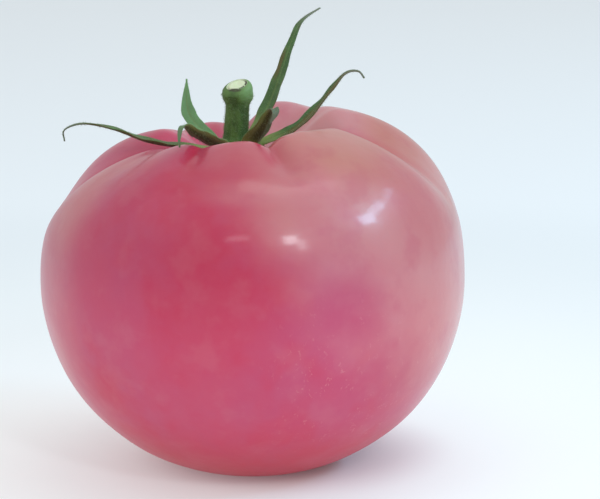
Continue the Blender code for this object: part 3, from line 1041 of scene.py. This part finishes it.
def build_camera():
    data = bpy.data.cameras.new("camera")
    data.lens = CAMERA_LENS
    data.sensor_width = SENSOR_WIDTH
    data.clip_start, data.clip_end = CLIP_DISTANCES
    back = Vector((0, -math.cos(CAMERA_ELEVATION), math.sin(CAMERA_ELEVATION)))
    bpy.context.scene.camera = aim_object("camera", data, CAMERA_AIM, back, CAMERA_DISTANCE)
    bpy.context.scene.view_settings.view_transform = "Standard"


def build_stage(settings):
    corners = [direction(math.tau * i / FLOOR_CORNERS) * FLOOR_RADIUS for i in range(FLOOR_CORNERS)]
    finish = new_finish("white_floor", floor_looks, settings)
    floor = add_piece("floor", corners, [range(FLOOR_CORNERS)], finish)

    world = bpy.data.worlds.new("ambient")
    world.use_nodes = True
    background = world.node_tree.nodes["Background"]
    background.inputs["Color"].default_value = settings.ambient
    background.inputs["Strength"].default_value = settings.ambient_strength
    bpy.context.scene.world = world
    for entry in LIGHTS:
        build_light(*entry)
    build_camera()


def colour_property(name, description, default):
    return FloatVectorProperty(
        name=name, description=description, default=(*default, 1.0), size=4, min=0.0, max=1.0, subtype="COLOR"
    )


def share_property(name, description, default):
    return FloatProperty(
        name=name, description=description, default=default, min=0.0, max=1.0, subtype="FACTOR"
    )


class TomatoSkinSettings(bpy.types.PropertyGroup):
    """Skin of the fruit"""

    columns: IntProperty(name="Columns", description="Faces round the fruit", default=320, min=48)
    rows: IntProperty(name="Rows", description="Faces from foot to cavity", default=190, min=24)
    roughness: share_property("Roughness", "Dullness of the skin", 0.34)
    translucency: share_property("Translucency", "Light through the flesh", 0.25)
    body: colour_property("Body", "Pink of the sides", (0.560, 0.043, 0.120))
    crimson: colour_property("Crimson", "Ripest skin, furrows and foot", (0.570, 0.013, 0.073))
    magenta: colour_property("Magenta", "Cooler patches", (0.530, 0.050, 0.140))
    pale: colour_property("Pale", "Dusty pink of the upper right", (0.660, 0.262, 0.285))
    fleck: colour_property("Flecks", "Fine pale specks low on the right", (0.740, 0.360, 0.370))
    tan: colour_property("Tan", "Warm dull pink of the shoulders", (0.610, 0.262, 0.215))
    wax: share_property("Wax", "Weight of the clear coat", 0.30)
    wax_roughness: share_property("Wax roughness", "Dullness of the coat", 0.12)
    cork: colour_property("Cork", "Dry ring round the calyx and the scar below", (0.36, 0.22, 0.12))


class TomatoCalyxSettings(bpy.types.PropertyGroup):
    """Sepals and their finish"""

    seed: IntProperty(name="Seed", description="Draw of the sepals' waves", default=7)
    inside: colour_property("Inside", "Upper face", (0.060, 0.140, 0.040))
    inside_deep: colour_property("Inside, deep", "Upper face, darker patches", (0.040, 0.095, 0.026))
    powdery: colour_property("Powdery", "Upper face of the paler blades", (0.165, 0.318, 0.142))
    outside: colour_property("Outside", "Under face", (0.058, 0.086, 0.016))
    outside_deep: colour_property("Outside, deep", "Under face, darker patches", (0.036, 0.055, 0.009))
    brown: colour_property("Brown", "Withered patches and edges", (0.115, 0.082, 0.026))
    rib: colour_property("Rib", "Midrib and foot", (0.270, 0.340, 0.100))
    dry: colour_property("Dry", "Grey, dry tips", (0.150, 0.155, 0.120))


class TomatoStemSettings(bpy.types.PropertyGroup):
    """Stem and its cut"""

    bark: colour_property("Bark", "Green of the stem", (0.074, 0.138, 0.026))
    bark_deep: colour_property("Bark, deep", "Darker patches", (0.040, 0.082, 0.014))
    grain: colour_property("Grain", "Pale grain and the knuckle", (0.160, 0.290, 0.100))
    pith: colour_property("Pith", "Cut face", (0.66, 0.71, 0.49))
    pith_deep: colour_property("Pith, deep", "Fibres of the cut face", (0.50, 0.56, 0.32))
    crack: colour_property("Crack", "Dark rim of the cut", (0.045, 0.040, 0.020))


class TomatoHairSettings(bpy.types.PropertyGroup):
    """Hairs on the sepals and the stem"""

    seed: IntProperty(name="Seed", description="Draw of the hairs' places", default=11)
    sepal_count: IntProperty(name="On the sepals", description="Number of hairs", default=5200, min=0)
    stem_count: IntProperty(name="On the stem", description="Number of hairs", default=2200, min=0)
    length: FloatProperty(name="Length", description="Longest hair", default=0.0007, unit="LENGTH")
    thickness: FloatProperty(name="Thickness", description="Root radius", default=0.000022, unit="LENGTH")
    colour: colour_property("Colour", "Dull green", (0.28, 0.36, 0.18))


class TomatoStageSettings(bpy.types.PropertyGroup):
    """Floor and ambient light"""

    near: colour_property("Floor", "Near the fruit", (0.620, 0.645, 0.640))
    far: colour_property("Floor, far", "Away from the fruit", (0.815, 0.840, 0.850))
    glow: colour_property("Glow", "Light from below", (0.96, 0.985, 1.0))
    glow_strength: FloatProperty(name="Glow strength", description="Near the fruit", default=0.325, min=0.0)
    ambient: colour_property("Ambient", "Light from all round", (0.96, 0.985, 1.0))
    ambient_strength: FloatProperty(name="Strength", description="Of the ambient light", default=0.78, min=0.0)


class TOMATO_OT_fruit(bpy.types.Operator):
    """Build the skin of the fruit"""

    bl_idname = "tomato.fruit"
    bl_label = "Fruit"

    def execute(self, context):
        build_fruit(context.scene.tomato_skin)
        return {"FINISHED"}


class TOMATO_OT_calyx(bpy.types.Operator):
    """Build the sepals and the dome that they grow from"""

    bl_idname = "tomato.calyx"
    bl_label = "Calyx"

    def execute(self, context):
        build_calyx(context.scene.tomato_calyx)
        return {"FINISHED"}


class TOMATO_OT_stem(bpy.types.Operator):
    """Build the stem with its knuckle and cut"""

    bl_idname = "tomato.stem"
    bl_label = "Stem"

    def execute(self, context):
        build_stem(context.scene.tomato_stem)
        return {"FINISHED"}


class TOMATO_OT_hairs(bpy.types.Operator):
    """Build the hairs on the sepals and the stem"""

    bl_idname = "tomato.hairs"
    bl_label = "Hairs"

    def execute(self, context):
        settings = context.scene.tomato_hairs
        finish = new_finish("pale_hair", hair_looks, settings)
        pieces = (
            ("sepal_hairs", "sepals", "calyx_star", settings.sepal_count, SEPAL_HAIR_HEIGHTS),
            ("stem_hairs", "stem", "stem_stub", settings.stem_count, STEM_HAIR_HEIGHTS),
        )
        for name, slot, source, count, heights in pieces:
            build_hairs(name, bpy.data.objects[source], count, heights, settings, finish)
        return {"FINISHED"}


class TOMATO_OT_stage(bpy.types.Operator):
    """Build the floor, the lights and the camera"""

    bl_idname = "tomato.stage"
    bl_label = "Stage"

    def execute(self, context):
        build_stage(context.scene.tomato_stage)
        return {"FINISHED"}


OPERATORS = (TOMATO_OT_fruit, TOMATO_OT_calyx, TOMATO_OT_stem, TOMATO_OT_hairs, TOMATO_OT_stage)
SETTINGS = {
    "tomato_skin": TomatoSkinSettings,
    "tomato_calyx": TomatoCalyxSettings,
    "tomato_stem": TomatoStemSettings,
    "tomato_hairs": TomatoHairSettings,
    "tomato_stage": TomatoStageSettings,
}


class TOMATO_PT_pieces(bpy.types.Panel):
    """Pieces of the tomato and their settings"""

    bl_idname = "TOMATO_PT_pieces"
    bl_label = "Tomato"
    bl_space_type = "VIEW_3D"
    bl_region_type = "UI"
    bl_category = "Tomato"

    def draw(self, context):
        for operator, (name, group) in zip(OPERATORS, SETTINGS.items()):
            box = self.layout.box()
            box.operator(operator.bl_idname)
            for setting in group.__annotations__:
                box.prop(getattr(context.scene, name), setting)


def register():
    for made in (*SETTINGS.values(), *OPERATORS, TOMATO_PT_pieces):
        bpy.utils.register_class(made)
    for name, group in SETTINGS.items():
        setattr(bpy.types.Scene, name, PointerProperty(type=group))


def unregister():
    for name in SETTINGS:
        delattr(bpy.types.Scene, name)
    for made in (TOMATO_PT_pieces, *OPERATORS[::-1], *SETTINGS.values()):
        bpy.utils.unregister_class(made)


def main():
    register()
    bpy.ops.tomato.fruit()
    bpy.ops.tomato.calyx()
    bpy.ops.tomato.stem()
    bpy.ops.tomato.hairs()
    bpy.ops.tomato.stage()


if __name__ == "__main__":
    main()
